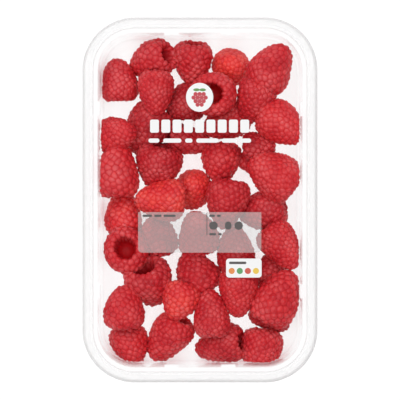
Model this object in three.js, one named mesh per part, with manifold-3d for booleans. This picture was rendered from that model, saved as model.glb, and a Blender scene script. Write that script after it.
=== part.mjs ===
// A sealed punnet of raspberries: a thin formed tray, a heap of berries and a clear lidding film.
// Millimetres, +Z up. The origin is under the middle of the tray, on the surface that it stands on,
// and the tray's long side runs along Y.
import * as THREE from "three";
import { mergeVertices } from "three/addons/utils/BufferGeometryUtils.js";
import Module from "manifold-3d";

const wasm = await Module();
wasm.setup();

// The whole pack
const TRAY_LENGTH = 190;
const TRAY_WIDTH = 122.4;
const PACK_HEIGHT = 36;
const CORNER_RADIUS = 27.4;
const SHEET = 0.7;
const FILM = 0.3;
const GAP = 0.3;

// The rim, measured inwards from the outer edge of the tray
const SKIRT_DEPTH = 4.2;
const LIP_RADIUS = 2;
const LAND_END = 5.8;
const STEP_FOOT = 6.1;
const STEP_DEPTH = 0.8;
const LEDGE_END = 8.3;
const EDGE_RADIUS = 0.7;
const FILM_INSET = 2.2;

// The bowl of the tray
const WALL_DRAFT = THREE.MathUtils.degToRad(3);
const FLOOR_FILLET = 7;
const FLOOR_RUN = 3;

// The stacking lugs that stand out of the wall under the ledge
const LUG_WIDTH = 7.8;
const LUG_TIP_WIDTH = 6.5;
const LUG_DEPTH = 1.4;
const LUG_REACH = 13;
const LONG_SIDE_LUG = 47.5;
const SHORT_SIDE_LUG = 14.8;

// The heap of berries
const CORE_HEIGHT = 4.5;
const CORE_INSET = 24;
const BERRY_TAPER = 0.36;
const BERRY_FULLNESS = 0.68;
const WIDEST_TURN = THREE.MathUtils.degToRad(-22);
const BERRY_SIDES = 10;
const BERRY_ROWS = 6;
const BASE_TURN = THREE.MathUtils.degToRad(-68);
const HOLLOW_WIDTH = 0.5;
const HOLLOW_END_WIDTH = 0.34;
const HOLLOW_END = -0.12;
const BASE_PLACE = -0.8;
const SQUEEZE = 0.84;
const HEADROOM = 0.8;

// How finely the round shapes are cut, and how near two points are one
const CORNER_STEPS = 6;
const BEND_STEPS = 3;
const SAME_POINT = 1e-4;

const rimTop = PACK_HEIGHT - FILM - GAP;
const ledgeTop = rimTop - STEP_DEPTH;
const floorTop = SHEET;

// Every berry as [x, y, length, width, heading, pitch, open]. Heading is the way its tip points,
// in degrees from +X, pitch lifts the tip, and open shows the hollow that the stalk has left.
// A berry comes after the ones that it lies on.
const BERRIES = [
  [-28, 37.6, 28, 24.5, 232, 0],
  [-43.2, 34.5, 25.5, 19, 10, 45],
  [-22.2, 18, 24.5, 25.4, 258, -10, true],
  [-3.6, 6.2, 21, 21.5, 80, 80],
  [-40.5, -6.5, 25, 19.5, 90, 0],
  [-22.2, -18, 23, 21, 90, 20],
  [33.2, -5.6, 27, 23, 190, -5, true],
  [29, 20.3, 21, 15.5, 175, 0],
  [30.8, 28, 18.5, 15.5, 0, 0],
  [13.5, 41.5, 26, 20, 205, 0],
  [-7.6, 51.2, 21, 20.5, 90, 0],
  [-6, 31.5, 27, 16.5, 350, -20, true],
  [-36.3, -77, 23.4, 20.2, 284, 10],
  [10.4, -76.1, 28, 21.8, 190, -20, true],
  [37, -60.5, 23, 18.5, 180, 0],
  [37, -37.5, 20, 19, 90, 0],
  [-42.9, 63, 23.8, 21.3, 93, 0],
  [-26.3, 73.2, 27.5, 20.3, 200, -38, true],
  [-4, 72, 24.4, 20.8, 268, -15, true],
  [-1, -17.7, 24, 22, 100, 10],
  [18.5, -27, 27, 21, 97, 0],
  [14, -2.3, 27.5, 23.3, 262, 0],
  [28.8, 52, 27, 20.8, 250, -20, true],
  [16.5, 71, 21, 21, 80, 80],
  [-25.6, -44.2, 28, 25, 290, -38, true],
  [-17, -72.6, 28.5, 21.8, 236, -15, true],
  [-1.9, -38.6, 25.5, 23.8, 120, 0],
  [5.8, -60, 26, 20, 95, 0],
  [19.8, -48.4, 26.5, 21.3, 268, 0],
  [32, -80.4, 26.5, 23.3, 262, 10],
  [-22.9, 56.3, 24, 20, 270, 5],
  [-43.6, 15.7, 31, 24, 90, 0],
  [-20.8, -0.4, 27.5, 22, 180, 10],
  [-38.9, -27, 23, 24.6, 270, -80, true],
  [10.8, 19.6, 21.5, 22, 268, 8],
  [38.2, 13.7, 28.5, 26, 146, 10],
  [42.9, 39.9, 27, 23, 325, 20],
  [37.4, 69.6, 26.5, 22.8, 62, 5],
  [7.8, 55.5, 23, 24.4, 0, -80, true],
  [-39.7, -56.7, 24.5, 22, 92, 5],
  [-10.8, -53.3, 21.5, 20.5, 250, 15],
  [40.6, -51.2, 32.5, 24.8, 62, 0],
  [42.8, -24.2, 27, 21, 305, 8],
];

const plastic = new THREE.MeshStandardMaterial({ color: 0xf4f2f1, roughness: 0.22, metalness: 0 });
const fruit = new THREE.MeshStandardMaterial({ color: 0xbe2f3a, roughness: 0.55, metalness: 0 });
const clearFilm = new THREE.MeshStandardMaterial({
  color: 0xffffff,
  roughness: 0.08,
  metalness: 0,
  transparent: true,
  opacity: 0.15,
});

// The tray's outline

// One point of the outline: where it lies on the outer edge, the way inwards, and whether a lug is there.
function station(x, y, inX, inY, lug = false) {
  return { x, y, inX, inY, lug };
}

// Places along one straight side, as [distance along it, whether a lug's face is there].
function sidePlaces(lugPlace) {
  const places = [];
  for (const middle of [-lugPlace, lugPlace]) {
    places.push([middle - LUG_WIDTH / 2, false]);
    places.push([middle - LUG_TIP_WIDTH / 2, true]);
    places.push([middle + LUG_TIP_WIDTH / 2, true]);
    places.push([middle + LUG_WIDTH / 2, false]);
  }
  return places;
}

// The rounded rectangle, anticlockwise: a straight side and then a corner, four times.
function outlineStations() {
  const halfX = TRAY_WIDTH / 2;
  const halfY = TRAY_LENGTH / 2;
  const straightX = halfX - CORNER_RADIUS;
  const straightY = halfY - CORNER_RADIUS;
  const stations = [];
  for (let quarter = 0; quarter < 4; quarter++) {
    const long = quarter % 2 === 0;
    const outX = Math.round(Math.cos((quarter * Math.PI) / 2));
    const outY = Math.round(Math.sin((quarter * Math.PI) / 2));
    const reach = long ? halfX : halfY;
    for (const [along, lug] of sidePlaces(long ? LONG_SIDE_LUG : SHORT_SIDE_LUG))
      stations.push(station(outX * reach - outY * along, outY * reach + outX * along, -outX, -outY, lug));
    const centreX = straightX * (outX - outY);
    const centreY = straightY * (outX + outY);
    for (let i = 0; i <= CORNER_STEPS; i++) {
      const turn = (quarter + i / CORNER_STEPS) * (Math.PI / 2);
      const x = Math.cos(turn);
      const y = Math.sin(turn);
      stations.push(station(centreX + CORNER_RADIUS * x, centreY + CORNER_RADIUS * y, -x, -y));
    }
  }
  return stations;
}

const STATIONS = outlineStations();

// How far a lug stands out of the wall at a height: full at the ledge, and run into the wall lower down.
function lugRise(z) {
  return LUG_DEPTH * THREE.MathUtils.clamp(1 - (ledgeTop - z) / LUG_REACH, 0, 1);
}

// One ring of the outline, moved inwards and set at a height.
function ring({ inset, z, lugged }) {
  return STATIONS.map((s) => {
    const inwards = inset + (lugged && s.lug ? lugRise(z) : 0);
    return new THREE.Vector3(s.x + s.inX * inwards, s.y + s.inY * inwards, z);
  });
}

// The two triangles between a pair of points on one ring and the pair beside it on the next. The slant
// side always runs from the higher ring's first point, so that surfaces swept up and down match.
function quadFaces(a, b, nextA, nextB, rising) {
  return rising ? [a, nextA, b, b, nextA, nextB] : [a, nextA, nextB, a, nextB, b];
}

// The closed surface through rings of the outline, capped on the middle line at both ends.
function sweepRings(path) {
  const sides = STATIONS.length;
  const points = path.flatMap(ring);
  const start = points.push(new THREE.Vector3(0, 0, path[0].z)) - 1;
  const end = points.push(new THREE.Vector3(0, 0, path.at(-1).z)) - 1;
  const last = (path.length - 1) * sides;
  const faces = [];
  for (let i = 0; i < sides; i++) {
    const next = (i + 1) % sides;
    faces.push(start, i, next);
    faces.push(end, last + next, last + i);
    for (let row = 0; row < last; row += sides) {
      const rising = points[row + sides].z > points[row].z;
      faces.push(...quadFaces(row + i, row + next, row + sides + i, row + sides + next, rising));
    }
  }
  return new THREE.BufferGeometry().setFromPoints(points).setIndex(faces);
}

// The tray

// Points of a round bend in a profile, from one angle to another about a centre.
function bend(centreInset, centreZ, radius, from, to, lugged = false) {
  const points = [];
  for (let i = 0; i <= BEND_STEPS; i++) {
    const turn = THREE.MathUtils.lerp(from, to, i / BEND_STEPS);
    points.push({ inset: centreInset + radius * Math.cos(turn), z: centreZ + radius * Math.sin(turn), lugged });
  }
  return points;
}

// How far in from the outer edge the bowl's wall is at a height above the fillet.
function wallInset(z) {
  return LEDGE_END + (ledgeTop - z) * Math.tan(WALL_DRAFT);
}

// The face of the sheet that shows from above, from the foot of the skirt to the edge of the floor.
function upperProfile() {
  const filletTop = floorTop + FLOOR_FILLET * (1 - Math.sin(WALL_DRAFT));
  const filletInset = wallInset(filletTop) + FLOOR_FILLET * Math.cos(WALL_DRAFT);
  const lugFoot = ledgeTop - LUG_REACH;
  return [
    { inset: 0, z: rimTop - SKIRT_DEPTH },
    ...bend(LIP_RADIUS, rimTop - LIP_RADIUS, LIP_RADIUS, Math.PI, Math.PI / 2),
    { inset: LAND_END, z: rimTop },
    { inset: STEP_FOOT, z: ledgeTop },
    ...bend(LEDGE_END - EDGE_RADIUS, ledgeTop - EDGE_RADIUS, EDGE_RADIUS, Math.PI / 2, WALL_DRAFT, true),
    { inset: wallInset(lugFoot), z: lugFoot, lugged: true },
    ...bend(filletInset, floorTop + FLOOR_FILLET, FLOOR_FILLET, Math.PI + WALL_DRAFT, (3 * Math.PI) / 2),
    { inset: filletInset + FLOOR_RUN, z: floorTop },
  ];
}

// The same profile moved across the sheet, so that the two faces stay one thickness apart.
function offsetProfile(path, distance) {
  const at = (i) => new THREE.Vector2(path[i].inset, path[i].z);
  const across = (a, b) => {
    const along = b.clone().sub(a).normalize();
    return new THREE.Vector2(along.y, -along.x);
  };
  return path.map((point, i) => {
    const before = across(at(Math.max(i - 1, 0)), at(Math.max(i, 1)));
    const after = across(at(Math.min(i, path.length - 2)), at(Math.min(i + 1, path.length - 1)));
    const mitre = before.clone().add(after).normalize();
    const reach = distance / mitre.dot(before);
    return { ...point, inset: point.inset + mitre.x * reach, z: point.z + mitre.y * reach };
  });
}

function trayGeometry() {
  const upper = upperProfile();
  const lower = offsetProfile(upper, SHEET);
  return sweepRings([...upper.reverse(), ...lower]);
}

// The lidding film

function filmGeometry() {
  const halfX = TRAY_WIDTH / 2 - FILM_INSET;
  const halfY = TRAY_LENGTH / 2 - FILM_INSET;
  const radius = CORNER_RADIUS - FILM_INSET;
  const shape = new THREE.Shape();
  shape.moveTo(halfX, radius - halfY);
  shape.lineTo(halfX, halfY - radius);
  shape.absarc(halfX - radius, halfY - radius, radius, 0, Math.PI / 2);
  shape.absarc(radius - halfX, halfY - radius, radius, Math.PI / 2, Math.PI);
  shape.absarc(radius - halfX, radius - halfY, radius, Math.PI, (3 * Math.PI) / 2);
  shape.absarc(halfX - radius, radius - halfY, radius, (3 * Math.PI) / 2, 2 * Math.PI);
  return new THREE.ExtrudeGeometry(shape, { depth: FILM, bevelEnabled: false, curveSegments: CORNER_STEPS });
}

// The heap of berries

// A geometry as a solid that can be joined and cut, without the slivers that close up at a pole.
function solidFrom(geometry) {
  const bare = geometry.clone();
  bare.deleteAttribute("normal");
  bare.deleteAttribute("uv");
  const merged = mergeVertices(bare, SAME_POINT);
  const { array } = merged.index;
  const faces = [];
  for (let i = 0; i < array.length; i += 3) {
    const [a, b, c] = array.slice(i, i + 3);
    if (a !== b && b !== c && c !== a) faces.push(a, b, c);
  }
  const mesh = new wasm.Mesh({
    numProp: 3,
    vertProperties: merged.attributes.position.array,
    triVerts: new Uint32Array(faces),
  });
  return new wasm.Manifold(mesh);
}

function geometryFrom(solid) {
  const mesh = solid.getMesh();
  const position = new THREE.BufferAttribute(mesh.vertProperties, mesh.numProp);
  const geometry = new THREE.BufferGeometry().setAttribute("position", position);
  geometry.setIndex(new THREE.BufferAttribute(mesh.triVerts, 1));
  geometry.computeVertexNormals();
  return geometry;
}

// The way a berry's tip points.
function tipDirection(heading, pitch) {
  const turn = THREE.MathUtils.degToRad(heading);
  const lift = THREE.MathUtils.degToRad(pitch);
  return new THREE.Vector3(Math.cos(turn) * Math.cos(lift), Math.sin(turn) * Math.cos(lift), Math.sin(lift));
}

// How far a berry reaches from its middle in a direction, taken as an egg about its axis.
function reachTowards({ length, width, tip }, direction) {
  const along = direction.dot(tip) / (length / 2);
  const aside = Math.sqrt(Math.max(0, 1 - direction.dot(tip) ** 2)) / (width / 2);
  return 1 / Math.hypot(along, aside);
}

// Half of the height that a berry takes up as it lies.
function halfHeight({ length, width, tip }) {
  return Math.hypot((tip.z * length) / 2, (Math.sqrt(1 - tip.z ** 2) * width) / 2);
}

// Berries as they lie: each on the floor or on the ones before it, and all of them under the film.
function settledBerries() {
  const settled = [];
  for (const [x, y, length, width, heading, pitch, open = false] of BERRIES) {
    const berry = { length, width, open, tip: tipDirection(heading, pitch) };
    const half = halfHeight(berry);
    let z = floorTop + GAP + half;
    for (const other of settled) {
      const between = new THREE.Vector3(other.middle.x - x, other.middle.y - y, 0);
      const apart = between.length();
      between.normalize();
      const touching = SQUEEZE * (reachTowards(berry, between) + reachTowards(other, between));
      if (apart < touching) z = Math.max(z, other.middle.z + Math.sqrt(touching ** 2 - apart ** 2));
    }
    berry.middle = new THREE.Vector3(x, y, Math.min(z, rimTop - HEADROOM - half));
    settled.push(berry);
  }
  return settled;
}

// How wide a berry is at each turn from its tip round to its base, against its widest.
function swelling(turn) {
  return Math.max(Math.cos(turn), 0) ** BERRY_FULLNESS * (1 - BERRY_TAPER * Math.sin(turn));
}

// A berry about the Y axis with its tip up: a blunt cone, closed at its base or hollow.
function berryGeometry({ length, width, open }) {
  const half = length / 2;
  const wide = width / 2;
  const profile = open
    ? [
        new THREE.Vector2(0, 0),
        new THREE.Vector2(HOLLOW_END_WIDTH * wide, HOLLOW_END * half),
        new THREE.Vector2(HOLLOW_WIDTH * wide, BASE_PLACE * half),
      ]
    : [new THREE.Vector2(0, BASE_PLACE * half)];
  for (let i = 0; i <= BERRY_ROWS; i++) {
    const turn = THREE.MathUtils.lerp(BASE_TURN, Math.PI / 2, i / BERRY_ROWS);
    const radius = i === BERRY_ROWS ? 0 : (wide * swelling(turn)) / swelling(WIDEST_TURN);
    profile.push(new THREE.Vector2(radius, half * Math.sin(turn)));
  }
  return new THREE.LatheGeometry(profile, BERRY_SIDES);
}

function berrySolid(berry) {
  const geometry = berryGeometry(berry);
  const turn = new THREE.Quaternion().setFromUnitVectors(new THREE.Vector3(0, 1, 0), berry.tip);
  geometry.applyQuaternion(turn);
  geometry.translate(berry.middle.x, berry.middle.y, berry.middle.z);
  return solidFrom(geometry);
}

// The space that the heap may fill: the bowl, kept a gap clear of the tray and of the film.
function roomSolid() {
  const bowl = upperProfile().slice(-BEND_STEPS - 3);
  const clear = offsetProfile(bowl, -GAP);
  const edge = { inset: LEDGE_END + GAP, z: ledgeTop, lugged: true };
  const mouth = { inset: LEDGE_END + GAP, z: rimTop - GAP, lugged: true };
  return solidFrom(sweepRings([mouth, edge, ...clear]));
}

// The low heart of the heap, which the berries are fused to.
function coreSolid() {
  const low = { inset: CORE_INSET, z: floorTop + GAP };
  const high = { inset: CORE_INSET, z: floorTop + GAP + CORE_HEIGHT };
  return solidFrom(sweepRings([high, low]));
}

function heapGeometry() {
  const berries = settledBerries().map(berrySolid);
  const heap = wasm.Manifold.union([coreSolid(), ...berries]).intersect(roomSolid());
  const bodies = heap.decompose();
  bodies.sort((a, b) => b.volume() - a.volume());
  return geometryFrom(bodies[0]);
}

function named(name, geometry, material) {
  const mesh = new THREE.Mesh(geometry, material);
  mesh.name = name;
  return mesh;
}

const punnet = new THREE.Group();
punnet.add(named("tray", trayGeometry(), plastic));
punnet.add(named("raspberries", heapGeometry(), fruit));
const film = named("lid_film", filmGeometry(), clearFilm);
film.position.z = PACK_HEIGHT - FILM;
punnet.add(film);

export default punnet;
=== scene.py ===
import math

import bmesh
import bpy
import numpy as np
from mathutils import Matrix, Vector


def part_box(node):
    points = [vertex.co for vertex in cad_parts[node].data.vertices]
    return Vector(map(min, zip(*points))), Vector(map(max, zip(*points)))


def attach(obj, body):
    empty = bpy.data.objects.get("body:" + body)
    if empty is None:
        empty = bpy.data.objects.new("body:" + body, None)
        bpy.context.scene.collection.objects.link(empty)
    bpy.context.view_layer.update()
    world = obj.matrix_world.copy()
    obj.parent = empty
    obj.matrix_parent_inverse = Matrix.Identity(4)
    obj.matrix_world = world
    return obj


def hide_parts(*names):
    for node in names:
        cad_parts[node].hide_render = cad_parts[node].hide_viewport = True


# A sealed punnet of raspberries, seen from straight above on a white table.
# Everything is in metres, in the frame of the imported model: +Z up, the tray's long side along Y.

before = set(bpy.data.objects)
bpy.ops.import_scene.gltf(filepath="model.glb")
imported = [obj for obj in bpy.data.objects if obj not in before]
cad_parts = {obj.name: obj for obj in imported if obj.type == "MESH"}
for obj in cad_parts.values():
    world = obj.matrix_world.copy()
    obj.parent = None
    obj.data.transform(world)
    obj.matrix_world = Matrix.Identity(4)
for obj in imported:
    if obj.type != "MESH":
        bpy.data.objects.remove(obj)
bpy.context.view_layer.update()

MM = 0.001

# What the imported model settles
TRAY_LOW, TRAY_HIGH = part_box("tray")
HALF_X = TRAY_HIGH.x
HALF_Y = TRAY_HIGH.y
RIM_TOP = TRAY_HIGH.z

# The tray, as sizes measured inwards from its outer edge and angles from upright in radians
CORNER_RADIUS = 27.4 * MM
SHEET = 0.45 * MM
SKIRT_DEPTH = 4.2 * MM
LIP_RADIUS = 2 * MM
LAND_END = 5.8 * MM
STEP_FOOT = 6.1 * MM
STEP_DEPTH = 0.8 * MM
STEP_ROUND = 0.25 * MM
STEP_DRAFT = 0.25
LEDGE_END = 8.3 * MM
EDGE_RADIUS = 0.7 * MM
WALL_DRAFT = math.radians(3)
FLOOR_FILLET = 7 * MM
FLOOR_TOP = 0.7 * MM
LEDGE_TOP = RIM_TOP - STEP_DEPTH
PAINTED_GLOW_REACH = 9 * MM

# The stacking lugs
LUG_WIDTH = 7.8 * MM
LUG_TIP_WIDTH = 6.5 * MM
LUG_DEPTH = 1.4 * MM
LUG_REACH = 13 * MM
LONG_SIDE_LUG = 47.5 * MM
SHORT_SIDE_LUG = 14.8 * MM

# Where rows of the tray's surface lie, and how finely its outline is divided
LUG_HEAD = 3 * MM
LUG_ROOM = 0.6
LUG_ROWS = 6
WALL_MARGIN = 2 * MM
WALL_ROWS = 4
FLOOR_RUNS = (2 * MM, 4 * MM, 6 * MM, 8 * MM, 9.5 * MM)
LIP_STEPS = 10
STEP_BEND_STEPS = 4
EDGE_STEPS = 6
FILLET_STEPS = 12
CORNER_STEPS = 28
FLANK_STEPS = 5
SIDE_STEP = 3.5 * MM

# How berries rest on each other and in the bowl
SQUEEZE = 0.84
BERRY_GAP = 0.3 * MM
HEADROOM = 0.8 * MM
BERRY_CEILING = RIM_TOP - 0.6 * MM
BOWL_CLEARANCE = 0.25 * MM
DOME_ROOM = 0.8 * MM

# A berry's section, as turns about its middle and shares of its half width and half length
BERRY_TAPER = 0.36
BERRY_FULLNESS = 0.68
WIDEST_TURN = math.radians(-22)
BASE_TURN = math.radians(-68)
RIM_ROUND = 0.05
RIM_DROP = 0.02
MOUTH_WIDTH = 0.52
MOUTH_RISE = 0.03
HOLLOW_CORNERS = ((0.48, -0.72), (0.44, -0.46), (0.37, -0.12), (0.2, 0.06), (0.0, 0.10))

# How one berry differs from an even one, as shares of its width or length
FLATTENING = 0.05
WAVE_LENGTH = 0.2
WAVE_HEIGHT = 0.02
AXIS_BEND = 0.14

# Random draws
SEED = 7
FULL_TURN = 6.28

# The drupelets, as shares of their spacing or its square, of their rise, and of the way into the hollow
DRUPELET_RISE = 0.26
SECTION_DEPTH = 0.8
CELL_SHARE = 0.866
SPIRAL_SPREAD = 0.12
SIZE_SPREAD = 0.2
RISE_INSIDE = 0.4
RIM_STRETCH = 0.45
DRUPELETS_INSIDE = 0.55

# How finely the berries are made
OUTER_STEPS = 60
PROFILE_STEPS = 400
SMOOTHING_ROUNDS = 60
EVENING_ROUNDS = 3
BALL_SUBDIVISIONS = 6
BERRIES_IN_A_PIECE = 9
NEARLY_ZERO = 1e-9

# The film, sealed flat on the land and a little slack inside it
FILM_INSET = 2.2 * MM
FILM_SHEET = 0.05 * MM
FILM_GAP = 0.06 * MM
FILM_FACE = RIM_TOP + FILM_GAP + FILM_SHEET
FILM_OUTLINE_END = 26 * MM
FILM_OUTLINE_RINGS = 22
FILM_MIDDLE_RINGS = 15
SLACK_EASING = 12 * MM
SLACK = 0.09 * MM
RIPPLE_HEIGHT = 0.04 * MM
WELD_DISTANCE = 0.001 * MM

# Ripples of the film as (share of the height, turns along X and along Y in radians a metre, phase)
RIPPLES = ((1.0, 45, 21, 0.0), (0.7, -35, 54, 1.3))

# The print on the film
INK_SHEET = 0.012 * MM
PRINT_GAP = 0.006 * MM
PRINT_STEP = 4 * MM
BAR_ROUNDING = 0.45
BAR_GAP = 0.9

# The table, the light of the room and the camera, with how much of the rim one of its pixels covers
TABLE_SIZE = 6.0
TABLE_GAP = 0.05 * MM
ROOM_LIGHT = 0.12
CAMERA_DISTANCE = 1.8
PIXEL = 0.5201 * MM
FRAME_PIXELS = 400
SENSOR = 36.0
VIEW_DEPTH = 20.0

# Every berry as (x, y, length, width, heading, pitch, drupelet, ripeness) in millimetres and degrees.
# Heading is the way its tip points, pitch lifts the tip, drupelet is how far apart its drupelets are, and
# ripeness runs from 0, deep red, to about 1, light and bright: partly the berry's own tone, and
# partly raised as painted light on berries that lie in shade. A berry comes after the ones it lies on.
BERRIES = [
    (-28, 37.6, 28, 24.5, 232, 0, 3.0, 0.20),
    (-43.2, 34.5, 25.5, 19, 10, 45, 2.7, 0.60),
    (-22.2, 18, 24.5, 25.4, 258, -10, 2.9, 0.25),
    (-3.6, 6.2, 21, 21.5, 80, 80, 2.7, 1.00),
    (-40.5, -6.5, 25, 19.5, 90, 0, 3.1, 0.85),
    (-22.2, -18, 23, 21, 90, 20, 3.2, 0.30),
    (33.2, -5.6, 27, 23, 190, -5, 3.0, 0.35),
    (29, 20.3, 21, 15.5, 175, 0, 3.2, 0.55),
    (30.8, 28, 18.5, 15.5, 0, 0, 3.0, 0.20),
    (13.5, 41.5, 26, 20, 205, 0, 2.9, 0.45),
    (-7.6, 51.2, 21, 20.5, 90, 0, 2.8, 0.15),
    (-6, 31.5, 27, 16.5, 350, -20, 3.2, 0.35),
    (-36.3, -77, 23.4, 20.2, 284, 10, 3.0, 0.60),
    (10.4, -76.1, 28, 21.8, 190, -20, 3.1, 0.35),
    (37, -60.5, 23, 18.5, 180, 0, 3.0, 0.20),
    (37, -37.5, 20, 19, 90, 0, 2.8, 0.20),
    (-42.9, 63, 23.8, 21.3, 93, 0, 2.6, 0.50),
    (-26.3, 73.2, 27.5, 20.3, 200, -38, 3.3, 0.50),
    (-4, 72, 24.4, 20.8, 268, -15, 3.2, 0.50),
    (-1, -17.7, 24, 22, 100, 10, 3.0, 0.50),
    (18.5, -27, 27, 21, 97, 0, 3.0, 0.45),
    (14, -2.3, 27.5, 23.3, 262, 0, 3.2, 0.45),
    (28.8, 52, 27, 20.8, 250, -20, 2.9, 0.45),
    (16.5, 71, 21, 21, 80, 80, 2.7, 1.05),
    (-25.6, -44.2, 28, 25, 290, -38, 3.3, 0.35),
    (-17, -72.6, 28.5, 21.8, 236, -15, 3.1, 0.55),
    (-1.9, -38.6, 25.5, 23.8, 120, 0, 3.4, 0.40),
    (5.8, -60, 26, 20, 95, 0, 2.7, 0.45),
    (19.8, -48.4, 26.5, 21.3, 268, 0, 2.6, 0.60),
    (32, -80.4, 26.5, 23.3, 262, 10, 2.9, 0.50),
    (-22.9, 56.3, 24, 20, 270, 5, 2.6, 0.55),
    (-43.6, 15.7, 31, 24, 90, 0, 3.5, 0.60),
    (-20.8, -0.4, 27.5, 22, 180, 10, 2.9, 1.00),
    (-38.9, -27, 23, 24.6, 270, -80, 3.2, 0.55),
    (10.8, 19.6, 21.5, 22, 268, 8, 3.2, 0.60),
    (38.2, 13.7, 28.5, 26, 146, 10, 2.8, 0.70),
    (42.9, 39.9, 27, 23, 325, 20, 2.8, 0.75),
    (37.4, 69.6, 26.5, 22.8, 62, 5, 3.2, 0.55),
    (7.8, 55.5, 23, 24.4, 0, -80, 3.0, 0.55),
    (-39.7, -56.7, 24.5, 22, 92, 5, 3.0, 0.55),
    (-10.8, -53.3, 21.5, 20.5, 250, 15, 3.0, 0.95),
    (40.6, -51.2, 32.5, 24.8, 62, 0, 3.5, 0.60),
    (42.8, -24.2, 27, 21, 305, 8, 2.7, 0.60),
]


# Shader maths and materials

class Wire:
    """A socket of a material. Maths on it adds the nodes that work it out."""

    def __init__(self, finish, socket):
        self.finish = finish
        self.socket = socket

    def maths(self, operation, first, second=0.0, clamp=False):
        settings = {"operation": operation, "use_clamp": clamp}
        return self.finish.node("ShaderNodeMath", settings, {0: first, 1: second})

    def __add__(self, other):
        return self.maths("ADD", self, other)

    def __sub__(self, other):
        return self.maths("SUBTRACT", self, other)

    def __rsub__(self, other):
        return self.maths("SUBTRACT", other, self)

    def __mul__(self, other):
        return self.maths("MULTIPLY", self, other)

    def __pow__(self, other):
        return self.maths("POWER", self, other)

    def clamped(self):
        return self.maths("ADD", self, 0.0, clamp=True)

    __radd__ = __add__
    __rmul__ = __mul__


class Finish:
    """A material in the making, with one Principled shader."""

    # A Mix node's sockets when it mixes colours: the factor, both colours and the result
    MIX_INPUTS = (0, 6, 7)
    MIX_OUTPUT = 2

    def __init__(self, name):
        self.material = bpy.data.materials.new(name)
        self.material.use_nodes = True
        self.tree = self.material.node_tree
        self.shader = self.tree.nodes["Principled BSDF"]

    def node(self, kind, settings=None, sockets=None, output=0):
        made = self.tree.nodes.new(kind)
        for name, value in (settings or {}).items():
            if name == "stops":
                self.set_stops(made.color_ramp, value)
            else:
                setattr(made, name, value)
        for name, value in (sockets or {}).items():
            self.feed(made.inputs[name], value)
        return Wire(self, made.outputs[output])

    def feed(self, socket, value):
        if isinstance(value, Wire):
            self.tree.links.new(value.socket, socket)
        else:
            socket.default_value = value

    @staticmethod
    def set_stops(ramp, stops):
        while len(ramp.elements) < len(stops):
            ramp.elements.new(1.0)
        for element, (position, colour) in zip(ramp.elements, stops):
            element.position = position
            element.color = (*colour, 1.0)

    def ramp(self, factor, stops):
        return self.node("ShaderNodeValToRGB", {"stops": stops}, {"Fac": factor})

    def mix(self, factor, first, second, blend="MIX"):
        settings = {"data_type": "RGBA", "blend_type": blend}
        made = self.node("ShaderNodeMix", settings)
        mixer = made.socket.node
        colours = [value if isinstance(value, Wire) else (*value, 1.0) for value in (first, second)]
        for index, value in zip(self.MIX_INPUTS, (factor, *colours)):
            self.feed(mixer.inputs[index], value)
        return Wire(self, mixer.outputs[self.MIX_OUTPUT])

    def place(self):
        return self.node("ShaderNodeTexCoord", output="Object")

    def noise(self, scale, detail=2.0, roughness=0.5):
        sockets = {"Vector": self.place(), "Scale": scale, "Detail": detail, "Roughness": roughness}
        return self.node("ShaderNodeTexNoise", sockets=sockets)

    def reading(self, attribute):
        return self.node("ShaderNodeAttribute", {"attribute_name": attribute}, output="Fac")

    def edge(self):
        """How edge-on the surface is seen: 0 from straight above it, 1 along it."""
        return self.node("ShaderNodeLayerWeight", sockets={"Blend": 0.5}, output="Facing")

    def bump(self, height, strength, distance):
        sockets = {"Height": height, "Strength": strength, "Distance": distance}
        return self.node("ShaderNodeBump", sockets=sockets)

    def dress(self, **values):
        for name, value in values.items():
            self.feed(self.shader.inputs[name.replace("_", " ")], value)


def srgb(red, green, blue):
    """A colour given as it shows on screen, from 0 to 255, as linear light."""
    shown = [value / 255 for value in (red, green, blue)]
    return tuple(v / 12.92 if v <= 0.04045 else ((v + 0.055) / 1.055) ** 2.4 for v in shown)


def berry_skin():
    finish = Finish("raspberry_skin")
    relief = finish.reading("relief")
    ripeness = finish.reading("ripeness")
    drupelet = finish.reading("drupelet")
    hollow = finish.reading("hollow")
    blotch = finish.noise(110, 3.0)
    fine = finish.noise(1500, 2.0)
    # A drupelet's tone follows its berry's ripeness, partly raised as painted light for berries in shade,
    # its own chance and large blotches
    tone = (ripeness * 0.7 + drupelet * 0.2 + blotch * 0.5 - 0.24).clamped()
    top = finish.ramp(tone, [
        (0.0, srgb(166, 14, 28)),
        (0.4, srgb(204, 28, 42)),
        (0.75, srgb(228, 44, 50)),
        (1.0, srgb(250, 74, 56)),
    ])
    # From the creases between drupelets, darkened as painted shade, over their flanks, paled a little as a
    # painted sheen, to their tops
    crease_shade = finish.mix(1.0, top, (0.82, 0.5, 0.56), "MULTIPLY")
    flank = finish.mix(0.1, top, srgb(238, 128, 132))
    rising = finish.mix((relief * 2.4).clamped(), crease_shade, flank)
    body = finish.mix((relief * 2.0 - 0.9).clamped(), rising, top)
    # Pale patches on the drupelets' tops: partly a random bloom, partly a painted highlight where the tops
    # catch the light
    bloom_and_highlight = (blotch * 3.6 - 1.5).clamped() * (relief * 1.6).clamped() * 0.38
    with_bloom_and_highlight = finish.mix(bloom_and_highlight, body, srgb(236, 128, 130))
    finish.dress(
        # Deep in the hollow the colour turns a darker red, as painted shade
        Base_Color=finish.mix(hollow, with_bloom_and_highlight, srgb(178, 12, 22)),
        Roughness=0.6 - 0.2 * relief + 0.12 * fine,
        Normal=finish.bump(fine, 0.3, 0.0001),
        Subsurface_Weight=0.5,
        Subsurface_Scale=0.0012,
        Subsurface_Radius=(2.0, 0.5, 0.4),
        Specular_IOR_Level=0.2,
        Coat_Weight=0.5 * relief * relief,
        Coat_Roughness=0.3,
    )
    return finish.material


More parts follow.
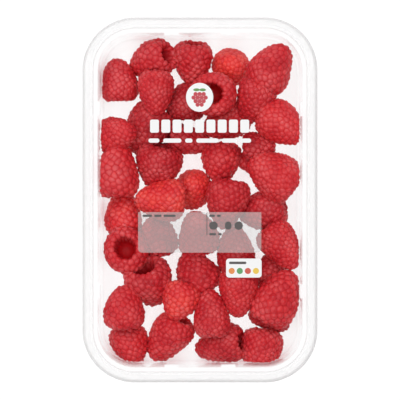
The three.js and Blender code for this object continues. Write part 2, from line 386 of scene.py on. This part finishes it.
def tray_plastic():
    finish = Finish("formed_clear_plastic")
    wave = finish.noise(55, 2.0)
    edge = finish.edge()
    bowl = finish.reading("bowl")
    blush = finish.reading("blush") ** 2.0
    # The plastic hides more where it is seen edge-on, and its bowl is clear but for a painted pink glow
    # near berries, in place of their reflected red light
    rim_cover = (0.35 + 0.4 * edge) * (1 - bowl)
    bowl_cover = (0.06 + 0.3 * edge ** 3.0 + (0.1 + 0.3 * edge) * blush) * bowl
    milky = finish.mix(wave, srgb(238, 238, 239), srgb(246, 245, 245))
    finish.dress(
        # A pink tint painted near the berries, standing in for their reflected red light
        Base_Color=finish.mix(blush, milky, srgb(246, 158, 170)),
        Roughness=0.04 + 0.06 * wave,
        Metallic=bowl * edge ** 3.0,
        Alpha=rim_cover + bowl_cover,
        Coat_Weight=1.0,
        Coat_Roughness=0.04,
        Normal=finish.bump(wave * bowl, 0.05, 0.0004),
        IOR=1.5,
    )
    return finish.material


def clear_film():
    finish = Finish("clear_lidding_film")
    wave = finish.noise(40, 1.0)
    edge = finish.edge()
    finish.dress(
        Base_Color=(1.0, 1.0, 1.0, 1.0),
        Roughness=0.05 + 0.05 * wave,
        Alpha=0.6 * edge ** 3.0,
        Normal=finish.bump(wave, 0.15, 0.0005),
        IOR=1.5,
    )
    return finish.material


def ink(name, colour, cover=1.0):
    """Print on the film: a field of colour with the slight unevenness of a printed layer."""
    finish = Finish(name)
    speckle = finish.noise(2500, 2.0)
    darker = tuple(0.93 * channel for channel in colour)
    finish.dress(Base_Color=finish.mix(speckle, darker, colour), Roughness=0.32 + 0.1 * speckle)
    if cover < 1:
        finish.dress(Alpha=1 - math.sqrt(1 - cover) - 0.03 * speckle)
    return finish.material


def table_white():
    finish = Finish("white_table")
    cloud = finish.noise(3, 2.0)
    finish.dress(
        Base_Color=finish.mix(cloud, (0.1, 0.1, 0.1), (0.12, 0.12, 0.12)),
        Roughness=0.75,
        Emission_Color=(1.0, 1.0, 1.0, 1.0),
        Emission_Strength=0.95,
    )
    return finish.material


# Making and placing meshes

def mesh_object(name, points, faces, material, smooth=True):
    mesh = bpy.data.meshes.new(name)
    mesh.from_pydata([tuple(p) for p in points], [], [tuple(int(i) for i in f) for f in faces])
    mesh.materials.append(material)
    mesh.polygons.foreach_set("use_smooth", [smooth] * len(mesh.polygons))
    mesh.update()
    made = bpy.data.objects.new(name, mesh)
    bpy.context.scene.collection.objects.link(made)
    return made


def set_reading(obj, name, values):
    attribute = obj.data.attributes.new(name, "FLOAT", "POINT")
    attribute.data.foreach_set("value", np.asarray(values, np.float32))


def standing_for(obj, slot, *nodes):
    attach(obj, "root")
    if nodes:
        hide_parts(*nodes)


# The tray's outline and profile

def eased(part):
    """A share from 0 to 1, made to start and end gently."""
    return part * part * (3 - 2 * part)


def lug_places(middle):
    """Places across one lug, as (distance along the side, how fully the lug stands out there)."""
    base, tip = LUG_WIDTH / 2, LUG_TIP_WIDTH / 2
    flank = [(base + (tip - base) * i / FLANK_STEPS, i / FLANK_STEPS) for i in range(FLANK_STEPS + 1)]
    left = [(middle - across, eased(part)) for across, part in flank]
    right = [(middle + across, eased(part)) for across, part in reversed(flank)]
    return left + right


def side_places(lug, straight):
    """Places along one straight side: both lugs, and evenly spread ones on the rest of it."""
    steps = int(straight / SIDE_STEP)
    even = [straight * i / steps for i in range(1 - steps, steps)]
    plain = [(along, 0.0) for along in even if abs(abs(along) - lug) > LUG_ROOM * LUG_WIDTH]
    return sorted(lug_places(-lug) + lug_places(lug) + plain)


def outline_stations():
    """The outer edge as arrays of points, ways inwards and lug shares, anticlockwise."""
    points, inwards, lugs = [], [], []
    straight = (HALF_X - CORNER_RADIUS, HALF_Y - CORNER_RADIUS)
    for quarter in range(4):
        out_x, out_y = ((1, 0), (0, 1), (-1, 0), (0, -1))[quarter]
        long_side = quarter % 2 == 0
        reach, reach_along = (HALF_X, HALF_Y) if long_side else (HALF_Y, HALF_X)
        lug = LONG_SIDE_LUG if long_side else SHORT_SIDE_LUG
        for along, part in side_places(lug, reach_along - CORNER_RADIUS):
            points.append((out_x * reach - out_y * along, out_y * reach + out_x * along))
            inwards.append((-out_x, -out_y))
            lugs.append(part)
        centre = (straight[0] * (out_x - out_y), straight[1] * (out_x + out_y))
        for step in range(CORNER_STEPS + 1):
            turn = (quarter + step / CORNER_STEPS) * math.pi / 2
            way_x, way_y = math.cos(turn), math.sin(turn)
            points.append((centre[0] + CORNER_RADIUS * way_x, centre[1] + CORNER_RADIUS * way_y))
            inwards.append((-way_x, -way_y))
            lugs.append(0.0)
    return np.array(points), np.array(inwards), np.array(lugs)


def bend(middle, radius, start, end, steps, lugged=0.0):
    """Points of a round bend in a profile, as rows of inset, height and whether the lugs show there."""
    inset, height = middle
    turns = np.linspace(start, end, steps + 1)
    rows = [inset + radius * np.cos(turns), height + radius * np.sin(turns), np.full(steps + 1, lugged)]
    return np.stack(rows, axis=1)


def wall_inset(height):
    """How far in from the tray's outer edge its straight wall is at each height."""
    return LEDGE_END + (LEDGE_TOP - height) * math.tan(WALL_DRAFT)


FILLET_TOP = FLOOR_TOP + FLOOR_FILLET * (1 - math.sin(WALL_DRAFT))
FILLET_INSET = wall_inset(FILLET_TOP) + FLOOR_FILLET * math.cos(WALL_DRAFT)


def upper_profile():
    """The face of the sheet that shows from above, from the foot of the skirt to the floor."""
    lug_foot = LEDGE_TOP - LUG_REACH
    up, down = math.pi / 2, 3 * math.pi / 2
    skirt_foot = [[0.0, RIM_TOP - SKIRT_DEPTH, 0]]
    lip_middle = (LIP_RADIUS, RIM_TOP - LIP_RADIUS)
    lip = bend(lip_middle, LIP_RADIUS, math.pi, up, LIP_STEPS)
    land_ends = (LIP_RADIUS + STEP_ROUND, LAND_END - 2 * STEP_ROUND)
    land = [[inset, RIM_TOP, 0] for inset in land_ends]
    step_top_middle = (LAND_END - STEP_ROUND, RIM_TOP - STEP_ROUND)
    step_top = bend(step_top_middle, STEP_ROUND, up, STEP_DRAFT, STEP_BEND_STEPS)
    step_foot_middle = (STEP_FOOT + STEP_ROUND, LEDGE_TOP + STEP_ROUND)
    step_foot = bend(step_foot_middle, STEP_ROUND, math.pi + STEP_DRAFT, down, STEP_BEND_STEPS)
    ledge_ends = (STEP_FOOT + 2 * STEP_ROUND, LEDGE_END - EDGE_RADIUS - STEP_ROUND)
    ledge = [[inset, LEDGE_TOP, 0] for inset in ledge_ends]
    edge_middle = (LEDGE_END - EDGE_RADIUS, LEDGE_TOP - EDGE_RADIUS)
    ledge_edge = bend(edge_middle, EDGE_RADIUS, up, WALL_DRAFT, EDGE_STEPS, 1)
    lugs = [[wall_inset(z), z, 1] for z in np.linspace(LEDGE_TOP - LUG_HEAD, lug_foot, LUG_ROWS)]
    wall_heights = np.linspace(lug_foot - WALL_MARGIN, FILLET_TOP + WALL_MARGIN, WALL_ROWS)
    wall = [[wall_inset(z), z, 0] for z in wall_heights]
    fillet_middle = (FILLET_INSET, FLOOR_TOP + FLOOR_FILLET)
    fillet = bend(fillet_middle, FLOOR_FILLET, math.pi + WALL_DRAFT, down, FILLET_STEPS)
    floor = [[FILLET_INSET + run, FLOOR_TOP, 0] for run in FLOOR_RUNS]
    return np.concatenate([
        skirt_foot, lip, land, step_top, step_foot, ledge, ledge_edge, lugs, wall, fillet, floor,
    ])


def offset_profile(path, distance):
    """The same profile moved across the sheet, so that its two faces stay one thickness apart."""
    line = path[:, :2]
    steps = np.diff(line, axis=0)
    steps /= np.linalg.norm(steps, axis=1, keepdims=True)
    across = np.stack([steps[:, 1], -steps[:, 0]], axis=1)
    before = np.concatenate([across[:1], across])
    after = np.concatenate([across, across[-1:]])
    mitre = before + after
    mitre /= np.linalg.norm(mitre, axis=1, keepdims=True)
    reach = distance / np.sum(mitre * before, axis=1, keepdims=True)
    return np.concatenate([line + mitre * reach, path[:, 2:]], axis=1)


def swept(path):
    """Points and faces of the closed surface through rings of the outline, capped on the middle line."""
    points, inwards, lugs = outline_stations()
    sides = len(points)
    rings = []
    for inset, height, lugged in path:
        rise = LUG_DEPTH * min(max(1 - (LEDGE_TOP - height) / LUG_REACH, 0), 1) * lugged
        placed = points + inwards * (inset + rise * lugs)[:, None]
        rings.append(np.concatenate([placed, np.full((sides, 1), height)], axis=1))
    ends = [[0, 0, path[0][1]], [0, 0, path[-1][1]]]
    every = np.concatenate(rings + [ends])
    start, end, last = len(every) - 2, len(every) - 1, (len(path) - 1) * sides
    faces = []
    for i in range(sides):
        following = (i + 1) % sides
        faces.append((start, i, following))
        faces.append((end, last + following, last + i))
        for row in range(0, last, sides):
            faces.append((row + i, row + sides + i, row + sides + following, row + following))
    return every, faces


def painted_glow_at(points, berries):
    """How near each point is to a berry, for a pink glow painted on the plastic in place of the berries'
    reflected red light: 1 close by, 0 far off.
    """
    nearness = np.zeros(len(points))
    for berry in berries:
        radius = (berry["length"] + berry["width"]) / 4
        gap = np.linalg.norm(points - np.array(berry["middle"]), axis=1) - radius
        nearness = np.maximum(nearness, 1 - gap / PAINTED_GLOW_REACH)
    return np.clip(nearness, 0, 1)


def make_tray(berries):
    upper = upper_profile()
    lower = offset_profile(upper, SHEET)
    lower[:, 1] = np.maximum(lower[:, 1], TRAY_LOW.z)
    path = np.concatenate([upper[::-1], lower])
    points, faces = swept(path)
    tray = mesh_object("tray_shell", points, faces, tray_plastic())
    bowl = np.clip((path[:, 0] - LAND_END + EDGE_RADIUS) / EDGE_RADIUS, 0, 1)
    middles = [1, 1]
    in_bowl = np.concatenate([np.repeat(bowl, (len(points) - len(middles)) // len(path)), middles])
    set_reading(tray, "bowl", in_bowl)
    set_reading(tray, "blush", in_bowl * painted_glow_at(points, berries))
    standing_for(tray, "tray_plastic", "tray")


# The berries

def tip_direction(heading, pitch):
    turn, lift = math.radians(heading), math.radians(pitch)
    return Vector((math.cos(turn) * math.cos(lift), math.sin(turn) * math.cos(lift), math.sin(lift)))


def reach_towards(berry, direction):
    """How far a berry reaches from its middle in a direction, taken as an egg about its axis."""
    lean = direction.dot(berry["tip"])
    along = lean / (berry["length"] / 2)
    aside = math.sqrt(max(0.0, 1 - lean ** 2)) / (berry["width"] / 2)
    return 1 / math.hypot(along, aside)


def half_height(berry):
    lean = berry["tip"].z
    return math.hypot(lean * berry["length"] / 2, math.sqrt(1 - lean ** 2) * berry["width"] / 2)


def settled_berries():
    """Berries as they lie: each on the floor or on the ones before it, and all of them under the film."""
    settled = []
    for x, y, length, width, heading, pitch, drupelet, ripeness in BERRIES:
        berry = {"length": length * MM, "width": width * MM}
        berry.update(drupelet=drupelet * MM, ripeness=ripeness)
        berry["tip"] = tip_direction(heading, pitch)
        half = half_height(berry)
        height = FLOOR_TOP + BERRY_GAP + half
        place = Vector((x * MM, y * MM, 0))
        for other in settled:
            between = Vector((other["middle"].x - place.x, other["middle"].y - place.y, 0))
            apart = between.length
            between.normalize()
            touching = SQUEEZE * (reach_towards(berry, between) + reach_towards(other, between))
            if apart < touching:
                height = max(height, other["middle"].z + math.sqrt(touching ** 2 - apart ** 2))
        place.z = min(height, RIM_TOP - HEADROOM - half)
        berry["middle"] = place
        settled.append(berry)
    return settled


def unit_ball(subdivisions):
    """Points and triangles of an even unit ball."""
    ball = bmesh.new()
    bmesh.ops.create_icosphere(ball, subdivisions=subdivisions, radius=1.0)
    points = np.array([v.co for v in ball.verts])
    faces = np.array([[v.index for v in f.verts] for f in ball.faces])
    ball.free()
    return points, faces


def swelling(turn):
    """How wide a berry is at each turn from its tip round to its base, against its widest."""
    return np.maximum(np.cos(turn), 0) ** BERRY_FULLNESS * (1 - BERRY_TAPER * np.sin(turn))


def berry_profile(half, wide):
    """A berry's section from its tip over the rim and up the hollow, as rows of radius and height."""
    turns = np.linspace(math.pi / 2, BASE_TURN, OUTER_STEPS)
    radius = wide * swelling(turns) / swelling(WIDEST_TURN)
    outer = np.stack([radius, half * np.sin(turns)], axis=1)
    rim = outer[-1]
    foot = [rim[0] - RIM_ROUND * wide, rim[1] - RIM_DROP * half]
    mouth = [MOUTH_WIDTH * wide, rim[1] + MOUTH_RISE * half]
    hollow = [[across * wide, up * half] for across, up in HOLLOW_CORNERS]
    corners = np.concatenate([outer, [foot, mouth], hollow])
    runs = np.concatenate([[0], np.cumsum(np.linalg.norm(np.diff(corners, axis=0), axis=1))])
    even = np.linspace(0, runs[-1], PROFILE_STEPS)
    section = np.stack([np.interp(even, runs, corners[:, i]) for i in range(2)], axis=1)
    for _ in range(SMOOTHING_ROUNDS):
        section[1:-1] = (section[:-2] + 2 * section[1:-1] + section[2:]) / 4
    return section, int(PROFILE_STEPS * runs[len(outer)] / runs[-1])


def covered_area(section):
    """The area that a section sweeps from its start up to each of its points."""
    lengths = np.linalg.norm(np.diff(section, axis=0), axis=1)
    bands = math.pi * (section[:-1, 0] + section[1:, 0]) * lengths
    return np.concatenate([[0], np.cumsum(bands)])


def drupelet_section(section, rim):
    """The section as the drupelets count it: shortened past the rim, where they grow long."""
    counted = section.copy()
    lengths = np.linalg.norm(np.diff(section[rim:], axis=0), axis=1)
    counted[rim:, 0] = section[rim, 0]
    counted[rim + 1:, 1] = section[rim, 1] - RIM_STRETCH * np.cumsum(lengths)
    return counted


def ways_out(section):
    """The way straight out of the section at each of its points."""
    tangent = np.gradient(section, axis=0)
    tangent /= np.linalg.norm(tangent, axis=1, keepdims=True)
    return np.stack([-tangent[:, 1], tangent[:, 0]], axis=1)


def at_share(where, shares, section):
    """Rows of the section, read off at shares between its points."""
    return np.stack([np.interp(where, shares, section[:, i]) for i in range(2)], axis=1)


def turned(rows, angles):
    """Rows of radius and height, swung round the axis to their angles."""
    return np.stack([rows[:, 0] * np.cos(angles), rows[:, 0] * np.sin(angles), rows[:, 1]], axis=1)


def squared_gaps(points, centres):
    """The square of the distance from every point to every centre."""
    return (points ** 2).sum(1)[:, None] + (centres ** 2).sum(1)[None, :] - 2 * points @ centres.T


def evened(centres, points):
    """Centres moved until each lies in the middle of the points that are nearest to it."""
    for _ in range(EVENING_ROUNDS):
        nearest = np.argmin(squared_gaps(points, centres), axis=1)
        counts = np.bincount(nearest, minlength=len(centres))
        sums = np.stack([np.bincount(nearest, points[:, i], len(centres)) for i in range(3)], axis=1)
        means = sums / np.maximum(counts, 1)[:, None]
        centres = points[np.argmin(squared_gaps(points, means), axis=0)]
    return centres


def drupelet_centres(counted, edge, pitch, points, random):
    """Middles of the drupelets, evenly spread from the tip to just inside the hollow."""
    area = covered_area(counted)
    count = int(area[edge] / (CELL_SHARE * pitch ** 2))
    spiral = np.arange(count) * math.pi * (3 - math.sqrt(5)) + random.uniform(0, FULL_TURN)
    spiral += random.normal(0, SPIRAL_SPREAD, count)
    where = (np.arange(count) + 0.5) / count * area[edge]
    return evened(turned(at_share(where, area, counted), spiral), points)


def drupelet_relief(marks, centres, random):
    """How high each point lies on its drupelet, 1 on its top, with that drupelet's own size and tone."""
    tones = random.uniform(0, 1, len(centres))
    sizes = random.normal(1.0, SIZE_SPREAD, len(centres))
    gaps = squared_gaps(marks, centres)
    nearest = np.argmin(gaps, axis=1)
    two_nearest = np.sqrt(np.maximum(np.partition(gaps, 1, axis=1)[:, :2], 0))
    to_middle = two_nearest[:, 0] * 2 / two_nearest.sum(axis=1)
    return np.clip(1 - to_middle ** 2, 0, 1), sizes[nearest], tones[nearest]


def uneven(points, berry, random):
    """A berry's points with the slight flattening, swellings and bend of that one berry."""
    flat = random.uniform(1 - FLATTENING, 1 + FLATTENING)
    waves = random.normal(0, 1, (3, 3))
    waves /= np.linalg.norm(waves, axis=1, keepdims=True)
    phases = points @ waves.T / (WAVE_LENGTH * berry["width"]) + random.uniform(0, FULL_TURN, 3)
    swell = np.sin(phases).sum(axis=1)
    points = points * (1 + WAVE_HEIGHT * swell)[:, None] * np.array([flat, 1 / flat, 1.0])
    points[:, :2] += random.uniform(-AXIS_BEND, AXIS_BEND, 2) * (points[:, 2:3] ** 2) / berry["length"]
    return points


def berry_surface(berry, ball, random):
    """One berry: a hollow blunt cone, as points, how its drupelets raise them, and named readings."""
    pitch = berry["drupelet"]
    rise = DRUPELET_RISE * pitch
    sunk = SECTION_DEPTH * rise
    section, rim = berry_profile(berry["length"] / 2 - sunk, berry["width"] / 2 - sunk)
    counted = drupelet_section(section, rim)
    edge = rim + int(DRUPELETS_INSIDE * (PROFILE_STEPS - rim))

    area = covered_area(section)
    where = (1 - ball[:, 2]) / 2 * area[-1]
    round_about = np.arctan2(ball[:, 1], ball[:, 0])
    points = turned(at_share(where, area, section), round_about)
    normals = turned(at_share(where, area, ways_out(section)), round_about)
    marks = turned(at_share(where, area, counted), round_about)

    centres = drupelet_centres(counted, edge, pitch, marks[where < area[edge]], random)
    relief, sizes, tones = drupelet_relief(marks, centres, random)
    fading = np.interp(where, area[[rim, edge, -1]], [1, RISE_INSIDE, 0])
    domes = normals * (rise * relief * sizes * fading)[:, None]
    # How far into the hollow each point lies, which sets the painted shade there
    hollow = np.interp(where, area[[rim, edge]], [0, 1])
    readings = {
        "relief": relief,
        "drupelet": tones,
        "hollow": hollow,
        "ripeness": np.full(len(ball), berry["ripeness"]),
    }
    return uneven(points, berry, random), domes, readings


def bowl_inset(height):
    """How far in from the tray's outer edge the bowl's face is at each height, fillet included."""
    below = np.clip(FLOOR_TOP + FLOOR_FILLET - height, 0, FLOOR_FILLET)
    fillet = FILLET_INSET - np.sqrt(np.maximum(FLOOR_FILLET ** 2 - below ** 2, 0))
    return np.where(height < FILLET_TOP, fillet, wall_inset(height))


def rim_distance(x, y):
    """How far in from the tray's outer edge each place is, and how far past the straights it is."""
    beyond = np.stack([np.abs(x) - (HALF_X - CORNER_RADIUS), np.abs(y) - (HALF_Y - CORNER_RADIUS)], axis=1)
    past = np.maximum(beyond, 0)
    round_corner = np.linalg.norm(past, axis=1)
    return CORNER_RADIUS - np.where(round_corner > 0, round_corner, beyond.max(axis=1)), past


def kept_in_bowl(points, clear):
    """Points moved to lie clear of the floor, the walls and the film, as soft fruit gives way."""
    points[:, 2] = np.clip(points[:, 2], FLOOR_TOP + clear, RIM_TOP - 2 * BOWL_CLEARANCE)
    depth, past = rim_distance(points[:, 0], points[:, 1])
    short = np.maximum(bowl_inset(points[:, 2]) + clear - depth, 0)
    way = past / np.maximum(np.linalg.norm(past, axis=1), NEARLY_ZERO)[:, None]
    points[:, :2] -= np.sign(points[:, :2]) * way * short[:, None]
    return points


def spin_matrix(angle):
    """The matrix of a turn about a berry's own axis."""
    return np.array([
        [math.cos(angle), -math.sin(angle), 0],
        [math.sin(angle), math.cos(angle), 0],
        [0, 0, 1],
    ])


def laid_in_bowl(shape, domes, berry, spin):
    """A berry's points as it lies: turned to its heading and pressed by the film, floor and walls."""
    tilt = Vector((0, 0, 1)).rotation_difference(berry["tip"]).to_matrix()
    way = (np.array(tilt) @ spin_matrix(spin)).T
    placed = shape @ way + np.array(berry["middle"])
    raised = domes @ way
    placed[:, 2] -= max(0, (placed + raised)[:, 2].max() - BERRY_CEILING)
    pressed = kept_in_bowl(placed, BOWL_CLEARANCE + DOME_ROOM)
    return kept_in_bowl(pressed + raised, BOWL_CLEARANCE)


def make_berries(berries):
    random = np.random.default_rng(SEED)
    ball, faces = unit_ball(BALL_SUBDIVISIONS)
    skin = berry_skin()
    for first in range(0, len(berries), BERRIES_IN_A_PIECE):
        points, readings, triangles = [], {}, []
        for number, berry in enumerate(berries[first:first + BERRIES_IN_A_PIECE]):
            shape, domes, marks = berry_surface(berry, ball, random)
            points.append(laid_in_bowl(shape, domes, berry, random.uniform(0, FULL_TURN)))
            triangles.append(faces + number * len(ball))
            for name, values in marks.items():
                readings.setdefault(name, []).append(values)
        label = "berries_" + "abcdefgh"[first // BERRIES_IN_A_PIECE]
        piece = mesh_object(label, np.concatenate(points), np.concatenate(triangles), skin)
        for name, values in readings.items():
            set_reading(piece, name, np.concatenate(values))
        standing_for(piece, "raspberry", "raspberries")


# The film and its print

def film_height(x, y):
    """The height of the film's upper face: sealed flat round the rim, and hardly slack inside it."""
    inside, _ = rim_distance(x, y)
    loose = eased(np.clip((inside - LAND_END) / SLACK_EASING, 0, 1))
    ripple = sum(high * np.sin(x * by_x + y * by_y + phase) for high, by_x, by_y, phase in RIPPLES)
    return FILM_FACE + loose * (SLACK + RIPPLE_HEIGHT * ripple)


def film_rings():
    """Rings of the film from its edge inwards: first along the outline, then onto its middle line."""
    points, inwards, _ = outline_stations()
    insets = np.linspace(FILM_INSET, FILM_OUTLINE_END, FILM_OUTLINE_RINGS)
    rings = [points + inwards * inset for inset in insets]
    last = rings[-1]
    spine = np.clip(last, [0, -(HALF_Y - HALF_X)], [0, HALF_Y - HALF_X])
    shares = np.linspace(0, 1, FILM_MIDDLE_RINGS + 1)[1:]
    return rings + [last * (1 - share) + spine * share for share in shares]


def welded(obj):
    """A mesh with the points that lie on each other joined, and its faces all turned outwards."""
    mesh = bmesh.new()
    mesh.from_mesh(obj.data)
    bmesh.ops.remove_doubles(mesh, verts=mesh.verts, dist=WELD_DISTANCE)
    bmesh.ops.recalc_face_normals(mesh, faces=mesh.faces)
    mesh.to_mesh(obj.data)
    mesh.free()
    return obj


def make_film():
    rings = film_rings()
    sides = len(rings[0])
    flat = np.concatenate(rings)
    top = np.column_stack([flat, film_height(flat[:, 0], flat[:, 1])])
    bottom = top - np.array([0, 0, FILM_SHEET])
    count = len(top)
    faces = []
    for row in range(0, (len(rings) - 1) * sides, sides):
        for i in range(sides):
            following = (i + 1) % sides
            quad = (row + i, row + following, row + sides + following, row + sides + i)
            faces.append(quad)
            faces.append(tuple(count + corner for corner in reversed(quad)))
    for i in range(sides):
        following = (i + 1) % sides
        faces.append((i, count + i, count + following, following))
    film = welded(mesh_object("film", np.concatenate([top, bottom]), faces, clear_film()))
    standing_for(film, "clear_film", "lid_film")


def rounded_outline(width, height, radii, steps=6):
    """A rounded rectangle about its middle. The corners' radii go round from the upper right one."""
    outline = []
    for corner, radius in enumerate(radii):
        side_x, side_y = ((1, 1), (-1, 1), (-1, -1), (1, -1))[corner]
        centre = (side_x * (width / 2 - radius), side_y * (height / 2 - radius))
        for step in range(steps + 1):
            turn = (corner + step / steps) * math.pi / 2
            outline.append((centre[0] + radius * math.cos(turn), centre[1] + radius * math.sin(turn)))
    return outline


def with_short_sides(outline):
    """An outline with its long sides split, so that a print follows the film."""
    split = []
    for start, end in zip(outline, outline[1:] + outline[:1]):
        pieces = 1 + int(math.dist(start, end) / PRINT_STEP)
        split += [tuple(a + (b - a) * i / pieces for a, b in zip(start, end)) for i in range(pieces)]
    return split


def plate_faces(start, count, sides, rings):
    """Faces of a thin plate. Its lower points begin at start, and its upper ones follow count later."""
    faces = []
    last = (rings - 1) * sides
    for i in range(sides):
        following = (i + 1) % sides
        faces.append((start + i, start + following, start + count + following, start + count + i))
        for row in range(rings - 1):
            quad = [row * sides + i, row * sides + following]
            quad += [corner + sides for corner in reversed(quad)]
            faces.append(tuple(start + count + corner for corner in quad))
            faces.append(tuple(start + corner for corner in reversed(quad)))
        faces.append((start + count + last + i, start + count + last + following, start + 2 * count - 1))
        faces.append((start + last + following, start + last + i, start + count - 1))
    return faces


def printed(name, shapes, material, lift=0):
    """Flat shapes printed on the film, as one thin piece. A shape is an outline and its middle's place."""
    points, faces = [], []
    raised = PRINT_GAP + lift * INK_SHEET
    for outline, middle in shapes:
        outline = np.array(with_short_sides(outline))
        rings = 2 + int(np.ptp(outline, axis=0).max() / PRINT_STEP)
        shares = np.linspace(1, 0, rings + 1)[:-1]
        flat = np.concatenate([outline * share for share in shares] + [[[0, 0]]]) + middle
        heights = film_height(flat[:, 0], flat[:, 1]) + raised
        faces += plate_faces(len(points), len(flat), len(outline), rings)
        points += [(x, y, z) for (x, y), z in zip(flat, heights)]
        points += [(x, y, z + INK_SHEET) for (x, y), z in zip(flat, heights)]
    piece = mesh_object(name, points, faces, material, smooth=False)
    standing_for(piece, "clear_film")


def disc(radius, stretch=1.0, steps=40):
    turns = [math.tau * i / steps for i in range(steps)]
    return [(radius * math.cos(turn), stretch * radius * math.sin(turn)) for turn in turns]


def bar(width, height):
    return rounded_outline(width, height, [BAR_ROUNDING * min(width, height)] * 4, 4)


def row_of_bars(left, right, y, height, widths):
    """Bars of the given shares of a line, with even gaps between them."""
    gap = BAR_GAP * height
    room = right - left - gap * (len(widths) - 1)
    scale = room / sum(widths)
    shapes, x = [], left
    for width in widths:
        shapes.append((bar(width * scale, height), (x + width * scale / 2, y)))
        x += width * scale + gap
    return shapes


def print_heading(white):
    """Nine plain blocks and a broken line below them."""
    blocks = 9
    left, right = -26.6 * MM, 26.2 * MM
    block_y, line_y = 38.4 * MM, 30.9 * MM
    block = rounded_outline(4.6 * MM, 6.8 * MM, [0.9 * MM] * 4)
    places = [left + (right - left) * (i + 0.5) / blocks for i in range(blocks)]
    printed("print_heading", [(block, (x, block_y)) for x in places], white)
    line = row_of_bars(-26.8 * MM, 26.6 * MM, line_y, 2.2 * MM, (3, 5, 2, 6, 4, 3))
    printed("print_line", line, white)


def print_badge(white):
    """A white disc with a plain sign of a berry, as rows of dots under two leaves."""
    x, y = -0.2 * MM, 53.4 * MM
    badge, badge_stretch = 7.1 * MM, 1.06
    dot, spread = 1.1 * MM, 2.1 * MM
    first_row, row_drop = 1.7 * MM, 1.85 * MM
    leaf, leaf_stretch = 1.7 * MM, 0.45
    leaf_x, leaf_y = 1.6 * MM, 3.9 * MM
    printed("print_badge", [(disc(badge, badge_stretch), (x, y))], white)
    red = ink("red_ink", srgb(200, 40, 58))
    green = ink("green_ink", srgb(96, 150, 70))
    dots = []
    for row, count in enumerate((3, 4, 3, 2)):
        for i in range(count):
            across = (i - (count - 1) / 2) * spread
            dots.append((disc(dot, steps=20), (x + across, y + first_row - row_drop * row)))
    printed("print_berry", dots, red, 1)
    leaves = [(disc(leaf, leaf_stretch, 20), (x + side * leaf_x, y + leaf_y)) for side in (-1, 1)]
    printed("print_leaves", leaves, green, 1)


def print_panel(dark):
    """A see-through grey panel with plain dark bars, a dark rule and a dark disc on it."""
    grey = ink("see_through_grey_ink", srgb(230, 230, 230), 0.42)
    width, height = 64.1 * MM, 21.1 * MM
    left, top = -32.2 * MM, -6.3 * MM
    upper_round, lower_round = 0.2 * MM, 2.1 * MM
    outline = rounded_outline(width, height, [upper_round] * 2 + [lower_round] * 2)
    printed("print_panel", [(outline, (left + width / 2, top - height / 2))], grey)
    small, large = 1.2 * MM, 4.2 * MM
    column = left + 37 * MM
    rows = (
        (left + 2.3 * MM, left + 19.5 * MM, top - 1.9 * MM, small, (4, 3, 5)),
        (column, left + 43 * MM, top - 1.9 * MM, small, (3, 2)),
        (column, left + 48.5 * MM, top - 7 * MM, large, (4, 3)),
        (column, left + 43.5 * MM, top - 11.5 * MM, small, (4, 2)),
    )
    shapes = [shape for row in rows for shape in row_of_bars(*row)]
    shapes.append((bar(0.4 * MM, 11.5 * MM), (left + 35.8 * MM, top - 6.3 * MM)))
    shapes.append((disc(2.2 * MM), (left + 52.3 * MM, top - 7 * MM)))
    printed("print_marks", shapes, dark, 1)


def print_label(white, dark):
    """A white tab with a dark bar over four dots of colour."""
    x, y = 22.8 * MM, -35.4 * MM
    tab = rounded_outline(18.5 * MM, 9.9 * MM, [1.6 * MM] * 4)
    dot, dot_spacing, dots_down = 1.6 * MM, 4.2 * MM, 1.5 * MM
    colours = {
        "orange": (236, 140, 52),
        "green": (84, 160, 92),
        "red": (214, 74, 52),
        "yellow": (244, 204, 66),
    }
    printed("print_label", [(tab, (x, y))], white)
    printed("print_label_bar", [(bar(9 * MM, 1.3 * MM), (x - 3.2 * MM, y + 2.7 * MM))], dark, 1)
    for i, (name, colour) in enumerate(colours.items()):
        place = (x + (i - (len(colours) - 1) / 2) * dot_spacing, y - dots_down)
        dot_ink = ink(name + "_dot_ink", srgb(*colour))
        printed("print_dot_" + name, [(disc(dot, steps=24), place)], dot_ink, 1)


def make_print():
    white = ink("white_ink", (1.0, 1.0, 1.0))
    dark = ink("dark_ink", srgb(70, 62, 62))
    print_heading(white)
    print_badge(white)
    print_panel(dark)
    print_label(white, dark)


# The table, the lights and the camera

def make_camera():
    lens = bpy.data.cameras.new("camera")
    lens.sensor_width = SENSOR
    lens.lens = SENSOR * CAMERA_DISTANCE / (PIXEL * FRAME_PIXELS)
    lens.clip_end = VIEW_DEPTH
    camera = bpy.data.objects.new("camera", lens)
    camera.location = (0, 0, RIM_TOP + CAMERA_DISTANCE)
    bpy.context.scene.collection.objects.link(camera)
    bpy.context.scene.camera = camera


def make_table():
    half = TABLE_SIZE / 2
    corners = [(-half, -half, 0), (half, -half, 0), (half, half, 0), (-half, half, 0)]
    table = mesh_object("table", corners, [(0, 1, 2, 3)], table_white(), smooth=False)
    table.location.z = TRAY_LOW.z - TABLE_GAP


def soft_light(name, size, power, place):
    """A round soft light that points at the middle of the frame."""
    light = bpy.data.lights.new(name, "AREA")
    light.shape = "DISK"
    light.size = size
    light.energy = power
    lamp = bpy.data.objects.new(name, light)
    lamp.location = place
    lamp.rotation_euler = (-Vector(place)).to_track_quat("-Z", "Y").to_euler()
    bpy.context.scene.collection.objects.link(lamp)


def make_lights():
    world = bpy.data.worlds.new("studio")
    world.use_nodes = True
    background = world.node_tree.nodes["Background"]
    background.inputs["Color"].default_value = (1, 1, 1, 1)
    background.inputs["Strength"].default_value = ROOM_LIGHT
    bpy.context.scene.world = world
    soft_light("overhead", size=2.2, power=27, place=(-0.15, 0.2, 1.5))
    bpy.context.scene.view_settings.view_transform = "Standard"


make_camera()
make_table()
make_lights()
heap = settled_berries()
make_tray(heap)
make_berries(heap)
make_film()
make_print()
